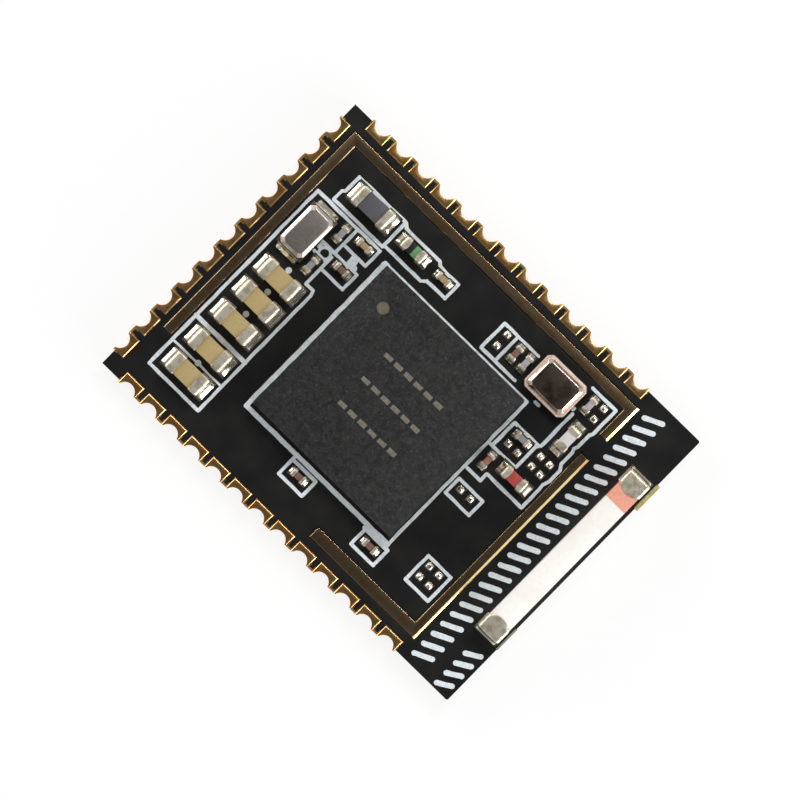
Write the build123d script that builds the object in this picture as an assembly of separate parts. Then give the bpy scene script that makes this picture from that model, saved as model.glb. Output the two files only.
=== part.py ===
from build123d import *
from collections import namedtuple
from math import atan2, degrees, hypot, tan
import os

# A castellated radio module, in millimetres. +X runs along the board to the aerial end,
# called east here, +Y is north and +Z is up, out of the component side.
# The origin is the middle of the plain board outline, on its underside.

# Board layers, from the underside up
mask_thickness = 0.03
laminate_thickness = 0.72
land_thickness = 0.05
underside_land_thickness = 0.02
land_slope_run = 0.05  # width of the etched slope round each gold land
window_margin = 0.025  # the mask stops this far from a land

# Plated half holes along three edges
pad_pitch = 1.1
first_pad_from_west = 1.325
short_row_margin = 0.9  # least distance from the short row's last pad to a corner
edge_land_width = 0.9
edge_land_depth = 0.43
half_hole_radius = 0.36
half_hole_centre_out = 0.18
plating_thickness = 0.05
drill_sides = 8  # the plating hides the drilled wall, so that has few flats
tooth_proud = 0.09  # the routed teeth stand this far out of the plain edge
tooth_end_reach = 0.45  # from the last pad's centre to the end of the teeth

# Shield frame lands
shield_gap_west = 0.22
shield_gap_north = 0.25
shield_gap_south = 0.30
shield_width_west = 0.45
shield_width_north = 0.45
shield_width_south = 0.54
shield_width_east = 0.45
shield_break_top = 1.0  # north of the chip's north side
shield_break_bottom = 0.1
shield_west_end = 0.33  # south of the chip's south side
shield_south_start = 2.15  # west of the chip's east side

# Main chip
chip_size = 7.0
chip_height = 0.85
chip_lead_pitch = 0.5
chip_lead_width = 0.25
chip_lead_length = 0.4
chip_lead_thickness = 0.2
chip_corner_gap = 0.2  # least distance between the leads of two sides, at a corner
chip_heat_pad_gap = 0.5
chip_dot_radius = 0.24
chip_dot_depth = 0.02
chip_dot_inset_x = 0.98
chip_dot_inset_y = 1.21

# Aerial
aerial_length = 8.0
aerial_width = 1.0
aerial_height = 1.0
aerial_keep_out = 1.25
aerial_edge_gap = 0.15
aerial_north_shift = 0.15
aerial_cap_length = 0.62
aerial_cap_bow = 0.2
aerial_toe = 0.14
aerial_solder_rise = 0.35

# Panel tabs left on the east edge, beside the two ends of the aerial
tab_inset = 0.36
north_tab_width = 1.2
north_tab_proud = 0.12
south_tab_width = 1.05
south_tab_proud = 0.035
tab_mask_setback = 0.04
east_corner_radius = 0.08

# Bulk capacitors
bulk_length = 1.6
bulk_width = 0.8
bulk_height = 0.8
bulk_cap_length = 0.4
bulk_toe = 0.24
bulk_solder_rise = 0.5
bulk_row_x = 1.4
bulk_rows_y = [-3.11, -4.23, -5.37, -6.71, -7.89]
bulk_gap_south = 0.5  # least distance from the last one to the half holes' lands

# Ferrite inductor
ferrite_length = 1.6
ferrite_width = 0.8
ferrite_height = 0.8
ferrite_cap_length = 0.33
ferrite_at = (2.02, 1.15)

# Inductors of the middle size
coil_length = 1.0
coil_width = 0.5
coil_height = 0.5
coil_cap_length = 0.23
coil_cap_bow = 0.06  # how far an end cap's inner edge bows towards the middle
coil_toe = 0.25
coil_solder_rise = 0.3
banded_coil_at = (0.3, 1.08)
pale_coil_at = (2.12, 0.1)
red_coil_at = (1.75, -2.31)

# Small chip parts
small_length = 0.6
small_width = 0.3
small_height = 0.3
small_cap_length = 0.15
small_toe = 0.12
small_solder_rise = 0.17

# Shared by all chip parts
cap_skin = 0.03  # metal of an end cap over the ceramic
cap_edge_break = 0.05
solder_edge = 0.015  # thickness of a solder fillet at its toe
solder_hollow = 0.4  # 1 draws the fillet's curve tangent to the end face or the land
solder_side_inset = 0.06
land_side_margin = 0.04

# Two-pad crystal
slow_crystal_length = 2.0
slow_crystal_width = 1.2
slow_crystal_base_height = 0.3
slow_crystal_lid_height = 0.3
slow_crystal_lid_inset = 0.03
slow_crystal_shoulder_width = 0.13
slow_crystal_shoulder_height = 0.09
slow_crystal_terminal_width = 1.0
slow_crystal_terminal_length = 0.4
slow_crystal_toe = 0.2
slow_crystal_solder_rise = 0.24
slow_crystal_at = (0.89, -1.16)
slow_crystal_lid_corner = 0.15

# Four-pad crystal
fast_crystal_length = 2.0
fast_crystal_width = 1.6
fast_crystal_base_height = 0.3
fast_crystal_flange_height = 0.06
fast_crystal_flange_inset = 0.02
fast_crystal_lid_height = 0.14
fast_crystal_lid_inset = 0.13
fast_crystal_shoulder_width = 0.11
fast_crystal_shoulder_height = 0.08
fast_crystal_lid_corner = 0.13
fast_crystal_corner_cut = 0.17
fast_crystal_pad_length = 0.6
fast_crystal_pad_width = 0.45
fast_crystal_at = (0.45, 1.15)

# Tinned lands with no part on them
spare_land_length = 0.32
spare_land_width = 0.3
solder_dome_height = 0.1
solder_dome_inset = 0.02
solder_dome_edge = 0.06

# Free board between the outermost parts and the next thing
outer_part_from_shield = 2.78  # the small part nearest the chip's west side
south_part_from_chip = 0.75  # the small parts south of the chip
chip_gap_west = 0.65
shield_gap_east = 0.3
shield_inner_gap_south = 0.63
shield_inner_gap_north = 0.32

# The small parts and spare lands are placed from one of five points: the shield land's
# inner west side level with the chip's north side, or one of the chip's four corners.
# Each entry is that point, then how far east and north of it, and whether the part is turned.
small_parts = [
    ("west", 1.85, -0.32, True),
    ("west", 2.75, -0.07, False),
    ("west", outer_part_from_shield, -1.28, False),
    ("west", 1.84, -1.93, True),
    ("north_west", 1.81, 1.08, False),
    ("north_east", -1.41, 1.0, True),
    ("north_east", -0.9, 1.0, True),
    ("north_east", 1.84, 1.53, True),
    ("north_east", 0.95, -1.07, False),
    ("north_east", 0.58, -2.52, True),
    ("south_west", 3.07, -south_part_from_chip, False),
    ("south_east", -0.29, -south_part_from_chip, False),
]
spare_lands = [
    ("north_east", -2.1, 1.27, False),
    ("north_east", -2.1, 0.72, False),
    ("north_east", 2.3, 1.8, False),
    ("north_east", 2.3, 1.27, False),
    ("north_east", 0.7, -1.55, False),
    ("north_east", 1.17, -1.55, False),
    ("north_east", 1.87, -1.05, False),
    ("north_east", 2.32, -1.05, False),
    ("north_east", 1.87, -1.55, False),
    ("north_east", 2.32, -1.55, False),
    ("north_east", 0.63, -3.96, False),
    ("north_east", 1.12, -3.96, False),
    ("south_east", 1.77, 0.25, False),
    ("south_east", 2.25, 0.25, False),
    ("south_east", 1.77, -0.27, False),
    ("south_east", 2.25, -0.27, False),
]

# Levels
laminate_bottom = mask_thickness
laminate_top = laminate_bottom + laminate_thickness
land_top = laminate_top + land_thickness

# The board is as long and as wide as what stands on it needs
west_zone = outer_part_from_shield + small_length / 2 + small_toe + chip_gap_west
east_zone = red_coil_at[0] + coil_length / 2 + coil_toe + shield_gap_east
south_zone = south_part_from_chip + small_width / 2 + shield_inner_gap_south
north_zone = fast_crystal_at[1] + fast_crystal_width / 2 + shield_inner_gap_north
shield_outer_west = edge_land_depth + shield_gap_west
shield_outer_north = edge_land_depth + shield_gap_north
shield_outer_south = edge_land_depth + shield_gap_south
board_length = (
    shield_outer_west + shield_width_west + west_zone + chip_size + east_zone
    + shield_width_east + aerial_keep_out + aerial_width + aerial_edge_gap
)
below_chip_north = max(
    chip_size + south_zone + shield_width_south + shield_outer_south,
    bulk_width / 2 - bulk_rows_y[-1] + bulk_gap_south + edge_land_depth,
)
board_width = below_chip_north + north_zone + shield_width_north + shield_outer_north
west_edge = -board_length / 2
east_edge = board_length / 2
south_edge = -board_width / 2
north_edge = board_width / 2
shield_inner_west = west_edge + shield_outer_west + shield_width_west
chip_west = shield_inner_west + west_zone
chip_east = chip_west + chip_size
shield_inner_east = chip_east + east_zone
shield_inner_south = south_edge + shield_outer_south + shield_width_south
shield_inner_north = north_edge - shield_outer_north - shield_width_north
chip_north = shield_inner_north - north_zone
chip_south = chip_north - chip_size
aerial_x = east_edge - aerial_edge_gap - aerial_width / 2

# As many half holes and leads as their rows have room for
first_pad_x = west_edge + first_pad_from_west
long_row_room = shield_inner_east + shield_width_east - first_pad_x
long_edge_pads = 1 + int(long_row_room / pad_pitch)
short_edge_pads = 1 + int((board_width - 2 * short_row_margin) / pad_pitch)
chip_heat_pad = chip_size - 2 * (chip_lead_length + chip_heat_pad_gap)
chip_row_room = chip_size - 2 * (chip_lead_length + chip_corner_gap) - chip_lead_width
chip_leads_per_side = 1 + int(chip_row_room / chip_lead_pitch)
points = {
    "west": (shield_inner_west, chip_north),
    "north_west": (chip_west, chip_north),
    "north_east": (chip_east, chip_north),
    "south_west": (chip_west, chip_south),
    "south_east": (chip_east, chip_south),
}
standing = (Align.CENTER, Align.CENTER, Align.MIN)
ChipStyle = namedtuple("ChipStyle", "length width height cap_length bow toe rise")
FittedPart = namedtuple("FittedPart", "name style x y turned")


def from_point(name, offset):
    """A place on the board, given from one of the named points."""
    x, y = points[name]
    return (x + offset[0], y + offset[1])


def at(x, y, z=0, turned=False):
    """A location on the board; a turned part has its length along Y."""
    return Pos(x, y, z) * Rot(0, 0, 90 if turned else 0)


def box(length, width, height, z=0):
    return Pos(0, 0, z) * Box(length, width, height, align=standing)


def span(x0, x1, y0, y1):
    """A flat rectangle given by its sides."""
    return Pos((x0 + x1) / 2, (y0 + y1) / 2) * Rectangle(x1 - x0, y1 - y0)


def group(shapes):
    """Several separate solids kept in one node."""
    return Compound([solid for shape in shapes for solid in shape.solids()])


def etched_land(plan, thickness=land_thickness):
    """A copper land on the laminate's top, with the slope that etching leaves all round."""
    slope = degrees(atan2(land_slope_run, land_thickness))
    return Pos(0, 0, laminate_top) * extrude(plan, thickness, taper=slope)


# Board

def pad_places():
    """Each plated half hole's place on the plain edge, by row, looking out along +Y first."""
    long_row = [first_pad_x + pad_pitch * i for i in range(long_edge_pads)]
    short_row = [pad_pitch * (i - (short_edge_pads - 1) / 2) for i in range(short_edge_pads)]
    return {
        "north": [Pos(x, north_edge) for x in long_row],
        "south": [Pos(x, south_edge) * Rot(0, 0, 180) for x in long_row],
        "west": [Pos(west_edge, y) * Rot(0, 0, 90) for y in short_row],
    }


def every_pad_place():
    return [place for row in pad_places().values() for place in row]


def tooth_strips():
    """The routed edge stands out a little wherever there are half holes."""
    first = first_pad_x - tooth_end_reach
    last = first + pad_pitch * (long_edge_pads - 1) + 2 * tooth_end_reach
    half = pad_pitch * (short_edge_pads - 1) / 2 + tooth_end_reach
    inside = edge_land_depth
    return [
        span(first, last, north_edge - inside, north_edge + tooth_proud),
        span(first, last, south_edge - tooth_proud, south_edge + inside),
        span(west_edge - tooth_proud, west_edge + inside, -half, half),
    ]


def tabs(reach_in):
    """What is left of the panel tabs at the aerial end, reaching a little into the board."""
    north = aerial_north_shift + aerial_length / 2 - tab_inset
    south = aerial_north_shift - aerial_length / 2 + tab_inset
    return [
        span(east_edge - reach_in, east_edge + proud, y - width / 2, y + width / 2)
        for y, width, proud in (
            (north, north_tab_width, north_tab_proud),
            (south, south_tab_width, south_tab_proud),
        )
    ]


def plain_outline():
    plan = span(west_edge, east_edge, south_edge, north_edge)
    corners = plan.vertices().sort_by(Axis.X)[-2:]
    return fillet(corners, east_corner_radius)


def drill_plan():
    return RegularPolygon(half_hole_radius + plating_thickness, drill_sides)


def laminate():
    """Glass-epoxy board: teeth, drilled half holes and tab stubs."""
    drill = Pos(0, half_hole_centre_out) * drill_plan()
    plan = plain_outline() + tooth_strips() + tabs(aerial_edge_gap)
    plan -= [place * drill for place in every_pad_place()]
    return Pos(0, 0, laminate_bottom) * extrude(plan, laminate_thickness)


def edge_pad():
    """One plated half hole: a land on each side, joined by the barrel. +Y looks off the board."""
    reach = edge_land_depth + tooth_proud + land_slope_run
    plan = Pos(0, reach / 2 - edge_land_depth) * Rectangle(edge_land_width, reach)
    top = etched_land(plan)
    bottom = Pos(0, 0, laminate_bottom) * extrude(plan, -underside_land_thickness)
    barrel = Pos(0, half_hole_centre_out, laminate_bottom) * extrude(
        drill_plan(), laminate_thickness
    )
    on_tooth = Pos(0, tooth_proud - reach / 2) * box(edge_land_width, reach, land_top)
    bore = Pos(0, half_hole_centre_out) * Cylinder(half_hole_radius, land_top, align=standing)
    return ((top + bottom + barrel) & on_tooth) - bore


def edge_pad_rows():
    pad = edge_pad()
    return {row: group([place * pad for place in places]) for row, places in pad_places().items()}


def shield_plans(grow=0):
    """The two L-shaped lands of the shield frame, seen from above."""
    west = shield_inner_west - shield_width_west - grow
    east = shield_inner_east + shield_width_east + grow
    north = shield_inner_north + shield_width_north + grow
    south = shield_inner_south - shield_width_south - grow
    inner_west = shield_inner_west + grow
    inner_east = shield_inner_east - grow
    inner_north = shield_inner_north - grow
    inner_south = shield_inner_south + grow
    north_west = (
        span(west, inner_west, chip_south - shield_west_end - grow, north)
        + span(west, east, inner_north, north)
        + span(inner_east, east, chip_north + shield_break_top - grow, north)
    )
    start = chip_east - shield_south_start - grow
    south_east = span(
        inner_east, east, south, chip_north + shield_break_bottom + grow
    ) + span(start, east, south, inner_south)
    return north_west, south_east


def solder_mask(windows, z):
    """A coat over the plain board with an opening round every land."""
    plan = plain_outline() - tabs(tab_mask_setback) - windows
    return Pos(0, 0, z) * extrude(plan, mask_thickness)


def edge_windows():
    width = edge_land_width + 2 * window_margin
    depth = edge_land_depth + window_margin
    window = Rectangle(width, 2 * depth)
    return [place * window for place in every_pad_place()]


def part_windows():
    """Openings for the shield lands, the parts' lands and the chip's rows of lands."""
    grow = 2 * window_margin
    windows = [place * Rectangle(x + grow, y + grow) for place, x, y in lands() + hidden_lands()]
    row = chip_lead_pitch * (chip_leads_per_side - 1) + chip_lead_width + grow
    windows += [
        place * Rectangle(chip_lead_length + grow, row) for place in chip_side_places()
    ]
    return windows + list(shield_plans(window_margin))


# Chip parts with two end caps

def bulk_style():
    return ChipStyle(
        bulk_length, bulk_width, bulk_height, bulk_cap_length, 0, bulk_toe, bulk_solder_rise
    )


def ferrite_style():
    return ChipStyle(
        ferrite_length, ferrite_width, ferrite_height, ferrite_cap_length, 0,
        bulk_toe, bulk_solder_rise,
    )


def coil_style():
    return ChipStyle(
        coil_length, coil_width, coil_height, coil_cap_length, coil_cap_bow,
        coil_toe, coil_solder_rise,
    )


def small_style():
    return ChipStyle(
        small_length, small_width, small_height, small_cap_length, 0, small_toe, small_solder_rise
    )


def aerial_style():
    return ChipStyle(
        aerial_length, aerial_width, aerial_height, aerial_cap_length, aerial_cap_bow,
        aerial_toe, aerial_solder_rise,
    )


def chip_body(style):
    """The ceramic block that shows between the end caps."""
    return box(
        style.length - 2 * cap_skin,
        style.width - 2 * cap_skin,
        style.height - 2 * cap_skin,
        cap_skin,
    )


def end_plan(style):
    """How far one end cap reaches, seen from above: its inner edge bows to the middle."""
    half = style.width / 2
    inner = style.length / 2 - style.cap_length
    outer = style.length / 2
    if style.bow == 0:
        return span(inner, outer, -half, half)
    bow = ThreePointArc((inner, half), (inner - style.bow, 0), (inner, -half))
    rest = Polyline((inner, -half), (outer, -half), (outer, half), (inner, half))
    return make_face([bow, rest])


def end_caps(style):
    """Both end caps: metal sleeves with broken edges over the ends of the block."""
    edge = min(cap_edge_break, style.height / 4, style.width / 4)
    block = box(style.length, style.width, style.height)
    block = chamfer(block.faces().filter_by(Axis.X).edges(), edge)
    reach = extrude(end_plan(style), style.height)
    ends = block & (reach + Rot(0, 0, 180) * reach)
    return ends - chip_body(style)


def solder_wedge(foot, toe, rise, width):
    """A hollow-faced fillet that starts at an end face, foot away from the middle."""
    top = Vector(foot, rise)
    tip = Vector(foot + toe, solder_edge)
    drop = rise - solder_edge
    lean = min(atan2(toe, drop), atan2(drop, toe))
    sag = hypot(toe, drop) / 2 * tan(lean / 2) * solder_hollow
    inward = Vector(-drop, -toe).normalized()
    face = ThreePointArc(top, (top + tip) * 0.5 + inward * sag, tip)
    rest = Polyline(tip, (foot + toe, 0), (foot, 0), top)
    profile = Plane.XZ * make_face([face, rest])
    return extrude(profile, width / 2, both=True)


def both_ends(shape):
    return [shape, Rot(0, 0, 180) * shape]


def fitted_parts():
    """Every two-cap part on the board, with its place."""
    parts = []
    for number, y in enumerate(bulk_rows_y, 1):
        place = from_point("west", (bulk_row_x, y))
        parts.append(FittedPart(f"bulk_capacitor_{number}", bulk_style(), *place, False))
    place = from_point("west", ferrite_at)
    parts.append(FittedPart("ferrite_inductor", ferrite_style(), *place, False))
    place = from_point("north_west", banded_coil_at)
    parts.append(FittedPart("banded_inductor", coil_style(), *place, False))
    place = from_point("north_east", pale_coil_at)
    parts.append(FittedPart("pale_inductor", coil_style(), *place, True))
    place = from_point("north_east", red_coil_at)
    parts.append(FittedPart("red_inductor", coil_style(), *place, False))
    parts.append(FittedPart("aerial", aerial_style(), aerial_x, aerial_north_shift, True))
    return parts


def fitted_small_parts():
    parts = []
    for number, (point, east, north, turned) in enumerate(small_parts, 1):
        place = from_point(point, (east, north))
        parts.append(FittedPart(f"small_part_{number:02d}", small_style(), *place, turned))
    return parts


# Main chip

def chip_centre():
    return Pos((chip_west + chip_east) / 2, (chip_south + chip_north) / 2)


def chip_side_places():
    """The middle of each row of leads, with X looking out of that side."""
    reach = (chip_size - chip_lead_length) / 2
    return [chip_centre() * Rot(0, 0, 90 * side) * Pos(reach, 0) for side in range(4)]


def chip_lead_places():
    middle = (chip_leads_per_side - 1) / 2
    steps = [chip_lead_pitch * (i - middle) for i in range(chip_leads_per_side)]
    return [side * Pos(0, y) for side in chip_side_places() for y in steps]


def chip_leads():
    """Leads flush with the chip's sides, and its heat pad, each in one with its land."""
    height = land_thickness + chip_lead_thickness
    lead = box(chip_lead_length, chip_lead_width, height, laminate_top)
    pad = box(chip_heat_pad, chip_heat_pad, height, laminate_top)
    return group([place * lead for place in chip_lead_places()] + [chip_centre() * pad])


def chip_body_block():
    """Moulded package with pockets for its leads and a shallow dot by its first lead."""
    body = chip_centre() * box(chip_size, chip_size, chip_height, land_top)
    dot = Pos(chip_west + chip_dot_inset_x, chip_north - chip_dot_inset_y)
    top = land_top + chip_height - chip_dot_depth
    body -= dot * Pos(0, 0, top) * Cylinder(chip_dot_radius, chip_dot_depth, align=standing)
    return body - chip_leads().solids()


# Crystals

def cut_corners(length, width, cut):
    plan = Rectangle(length, width)
    return chamfer(plan.vertices(), cut)


def pressed_lid(length, width, corner, height, shoulder_width, shoulder_height):
    """A pressed metal lid: cut corners, upright sides and a sloped shoulder all round."""
    rise = height - shoulder_height
    foot = cut_corners(length, width, corner)
    crown = cut_corners(length - 2 * shoulder_width, width - 2 * shoulder_width, corner)
    shoulder = loft(
        [Pos(0, 0, rise) * foot.face(), Pos(0, 0, height) * crown.face()], ruled=True
    )
    return extrude(foot, rise) + shoulder


def slow_crystal_terminals():
    """Metal on each end face, folded under the base."""
    reach = slow_crystal_length / 2
    foot = Pos(reach - slow_crystal_terminal_length / 2, 0) * box(
        slow_crystal_terminal_length, slow_crystal_terminal_width, slow_crystal_base_height
    )
    core = Pos(-cap_skin, 0, cap_skin) * box(
        slow_crystal_length, slow_crystal_width, slow_crystal_base_height
    )
    terminal = foot - core
    return terminal + Rot(0, 0, 180) * terminal


def slow_crystal_base():
    block = box(slow_crystal_length, slow_crystal_width, slow_crystal_base_height)
    return block - slow_crystal_terminals()


def slow_crystal_lid():
    lid = pressed_lid(
        slow_crystal_length - 2 * (slow_crystal_lid_inset + cap_skin),
        slow_crystal_width - 2 * slow_crystal_lid_inset,
        slow_crystal_lid_corner,
        slow_crystal_lid_height,
        slow_crystal_shoulder_width,
        slow_crystal_shoulder_height,
    )
    return Pos(0, 0, slow_crystal_base_height) * lid


def fast_crystal_corners(inset_x=0, inset_y=0):
    x = fast_crystal_length / 2 - inset_x
    y = fast_crystal_width / 2 - inset_y
    return [Pos(sx * x, sy * y) for sx in (-1, 1) for sy in (-1, 1)]


def fast_crystal_pad_places():
    inset = fast_crystal_corner_cut
    return fast_crystal_corners(
        inset + fast_crystal_pad_length / 2, inset + fast_crystal_pad_width / 2
    )


def fast_crystal_pads():
    """Four pads let into the underside of the base, each in one with its land."""
    height = land_thickness + cap_skin
    pad = box(fast_crystal_pad_length, fast_crystal_pad_width, height, -land_thickness)
    return group([place * pad for place in fast_crystal_pad_places()])


def fast_crystal_base():
    plan = cut_corners(fast_crystal_length, fast_crystal_width, fast_crystal_corner_cut)
    return extrude(plan, fast_crystal_base_height) - fast_crystal_pads().solids()


def fast_crystal_lid():
    """A flange welded to the base, with the raised lid on it."""
    inset = 2 * fast_crystal_flange_inset
    plate = cut_corners(
        fast_crystal_length - inset, fast_crystal_width - inset, fast_crystal_corner_cut
    )
    flange = extrude(plate, fast_crystal_flange_height)
    lid = pressed_lid(
        fast_crystal_length - 2 * fast_crystal_lid_inset,
        fast_crystal_width - 2 * fast_crystal_lid_inset,
        fast_crystal_lid_corner,
        fast_crystal_lid_height,
        fast_crystal_shoulder_width,
        fast_crystal_shoulder_height,
    )
    whole = flange + Pos(0, 0, fast_crystal_flange_height) * lid
    return Pos(0, 0, fast_crystal_base_height) * whole


# Lands and solder

def two_cap_lands(part):
    """The two lands of a part, as a place, a length and a width."""
    style = part.style
    length = style.cap_length + style.toe
    reach = style.length / 2 + style.toe - length / 2
    width = style.width + 2 * land_side_margin
    place = at(part.x, part.y, 0, part.turned)
    return [(place * Pos(side * reach, 0), length, width) for side in (-1, 1)]


def slow_crystal_place():
    return at(*from_point("west", slow_crystal_at), 0, True)


def fast_crystal_place():
    return at(*from_point("north_east", fast_crystal_at))


def slow_crystal_lands():
    length = slow_crystal_terminal_length + slow_crystal_toe
    reach = slow_crystal_length / 2 + slow_crystal_toe - length / 2
    return [
        (slow_crystal_place() * Pos(side * reach, 0), length, slow_crystal_terminal_width)
        for side in (-1, 1)
    ]


def spare_land_places():
    return [at(*from_point(point, (east, north)), 0, turned)
            for point, east, north, turned in spare_lands]


def lands():
    """Every land that shows beside its part, or has none."""
    found = [land for part in fitted_parts() + fitted_small_parts() for land in two_cap_lands(part)]
    found += slow_crystal_lands()
    found += [(place, spare_land_length, spare_land_width) for place in spare_land_places()]
    return found


def hidden_lands():
    """Lands wholly under a part, in one with the pad that stands on them."""
    found = [
        (fast_crystal_place() * corner, fast_crystal_pad_length, fast_crystal_pad_width)
        for corner in fast_crystal_pad_places()
    ]
    return found + [(chip_centre(), chip_heat_pad, chip_heat_pad)]


def part_lands():
    return group([place * box(x, y, land_thickness, laminate_top) for place, x, y in lands()])


def solder_fillets():
    """A fillet at each end of every two-ended part, from its land up its end face."""
    solids = []
    for part in fitted_parts() + fitted_small_parts():
        style = part.style
        width = style.width - solder_side_inset
        wedge = solder_wedge(style.length / 2, style.toe, style.rise, width)
        place = at(part.x, part.y, land_top, part.turned)
        solids += [place * end for end in both_ends(wedge)]
    wedge = solder_wedge(
        slow_crystal_length / 2, slow_crystal_toe, slow_crystal_solder_rise,
        slow_crystal_terminal_width - solder_side_inset,
    )
    solids += [slow_crystal_place() * Pos(0, 0, land_top) * end for end in both_ends(wedge)]
    return group(solids)


def solder_domes():
    """Solder that rounded up on each land with no part."""
    length = spare_land_length - 2 * solder_dome_inset
    width = spare_land_width - 2 * solder_dome_inset
    block = box(length, width, solder_dome_height)
    upper = block.edges().filter_by(Axis.Z) + block.faces().sort_by(Axis.Z)[-1].edges()
    dome = chamfer(upper, solder_dome_edge)
    return group([place * Pos(0, 0, land_top) * dome for place in spare_land_places()])


def build_nodes():
    """Every sub-part, by name."""
    north_west, south_east = shield_plans()
    nodes = {
        "board_laminate": laminate(),
        "solder_mask_top": solder_mask(edge_windows() + part_windows(), laminate_top),
        "solder_mask_underside": solder_mask(edge_windows(), 0),
        "shield_land_north_west": etched_land(north_west),
        "shield_land_south_east": etched_land(south_east),
        "part_lands": part_lands(),
        "solder_fillets": solder_fillets(),
        "solder_domes": solder_domes(),
        "main_chip_body": chip_body_block(),
        "main_chip_leads": chip_leads(),
    }
    for row, pads in edge_pad_rows().items():
        nodes[f"edge_pads_{row}"] = pads
    slow = slow_crystal_place() * Pos(0, 0, land_top)
    nodes["slow_crystal_base"] = slow * slow_crystal_base()
    nodes["slow_crystal_lid"] = slow * slow_crystal_lid()
    nodes["slow_crystal_terminals"] = slow * slow_crystal_terminals()
    fast = fast_crystal_place() * Pos(0, 0, land_top)
    nodes["fast_crystal_base"] = fast * fast_crystal_base()
    nodes["fast_crystal_lid"] = fast * fast_crystal_lid()
    nodes["fast_crystal_terminals"] = fast * fast_crystal_pads()
    for part in fitted_parts():
        place = at(part.x, part.y, land_top, part.turned)
        nodes[f"{part.name}_body"] = place * chip_body(part.style)
        nodes[f"{part.name}_caps"] = place * end_caps(part.style)
    small_caps = end_caps(small_style())
    caps = []
    for part in fitted_small_parts():
        place = at(part.x, part.y, land_top, part.turned)
        nodes[f"{part.name}_body"] = place * chip_body(part.style)
        caps.append(place * small_caps)
    nodes["small_part_caps"] = group(caps)
    return nodes


nodes = build_nodes()
os.makedirs("parts", exist_ok=True)
for name, shape in nodes.items():
    export_step(shape, f"parts/{name}.step")
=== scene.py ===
import math

import bmesh
import bpy
from mathutils import Matrix, Vector, noise


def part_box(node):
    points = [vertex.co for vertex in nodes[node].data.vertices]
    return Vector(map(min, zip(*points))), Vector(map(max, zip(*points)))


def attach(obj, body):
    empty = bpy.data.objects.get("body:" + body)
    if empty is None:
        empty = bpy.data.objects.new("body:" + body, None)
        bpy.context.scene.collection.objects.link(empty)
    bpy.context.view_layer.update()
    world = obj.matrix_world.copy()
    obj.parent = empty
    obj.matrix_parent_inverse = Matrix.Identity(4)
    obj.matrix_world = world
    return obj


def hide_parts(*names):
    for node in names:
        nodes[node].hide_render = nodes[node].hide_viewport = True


# A castellated radio module seen from straight above its component side.
# +X runs along the board to the aerial and is called east here, +Y is north, +Z is up.
# Lengths are in millimetres until a mesh, a lamp or the camera is made.
MM = 0.001

# Camera, over the board at the photograph's angle
view_centre = (-0.0925, 0.0319)
view_roll = math.radians(44.4)  # the board's +X lies this far below the picture's right
view_width = 29.18
view_lens = 300.0
view_sensor = 36.0

# The room's brightness straight overhead, where level metal mirrors it
room_overhead = 0.13

# The paper lies this far under the board, so that the two don't share a plane
floor_gap = 0.01
floor_own_white = 0.85
floor_half_side = 1.5  # metres

# Sloping east edge of the shield lands, inside their sloped side; the same strip carries a painted
# highlight
etched_side = 0.05
etched_width = 0.06
etched_depth = 0.024

# Bare board: where it shows at the teeth's tips and on the tabs, and the half width of the
# change between its two tints
tab_line = 8.75
tip_depth = 0.1
west_tip = -8.7
tip_blend = 0.05
tint_change = 0.5
ply = 0.12

# Main chip: the first lead's dot, from the chip's north-west corner
dot_inset_east = 0.98
dot_inset_south = 1.21
dot_radius = 0.25

# Four-pad crystal's lid: how high its flange stands
flange_height = 0.065
flange_blend = 0.035

# Aerial: where its salmon band starts
salmon_start = 2.78
salmon_blend = 0.05

# Printed ink
ink_thickness = 0.014
ink_line = 0.13
ink_thin = 0.09
ink_thick = 0.18
ink_blot = 0.33
ink_step = 0.18
ink_waver = 0.024
ink_corner_sides = 18
ink_clearance = 0.03
shield_width = 0.45

# Strokes of the printed outlines: a line width, then the points its middle runs through,
# given from a named point of the board.
west_strokes = [
    (ink_line, [(3.29, -0.56), (3.29, 0.2), (0.125, 0.2), (0.125, -8.6), (2.62, -8.6),
                (2.62, -2.73), (2.55, -2.54), (2.19, -2.54), (2.19, -1.38)]),
    (ink_line, [(3.29, -0.56), (2.16, -0.56)]),
    (ink_line, [(2.16, 0.2), (2.16, -1.01)]),
    (ink_line, [(1.55, -1.01), (3.29, -1.01), (3.29, -1.76), (2.19, -1.76)]),
    (ink_line, [(1.55, -1.46), (2.15, -1.46)]),
    (ink_blot, [(2.84, -0.68), (2.86, -0.95)]),
    (ink_blot, [(2.86, -0.95), (3.02, -0.95)]),
    (ink_thick, [(0.125, -6.15), (2.62, -6.15)]),
    (ink_thin, [(0.125, -7.38), (2.62, -7.38)]),
    (ink_line, [(3.42, 1.47), (3.24, 1.61), (0.86, 1.61), (0.86, 0.9), (0.76, 0.8),
                (0.76, 0.375), (3.24, 0.375), (3.24, 1.61)]),
    (ink_line, [(1.58, -1.24), (1.58, -1.05)]),
    (ink_line, [(2.19, -1.2), (2.19, -1.38)]),
]
north_west_strokes = [
    (ink_line, [(-0.45, 1.46), (1.26, 1.46), (1.4, 1.33), (2.34, 1.33), (2.34, 0.62),
                (1.42, 0.62), (1.25, 0.46), (-0.6, 0.46)]),
]
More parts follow.
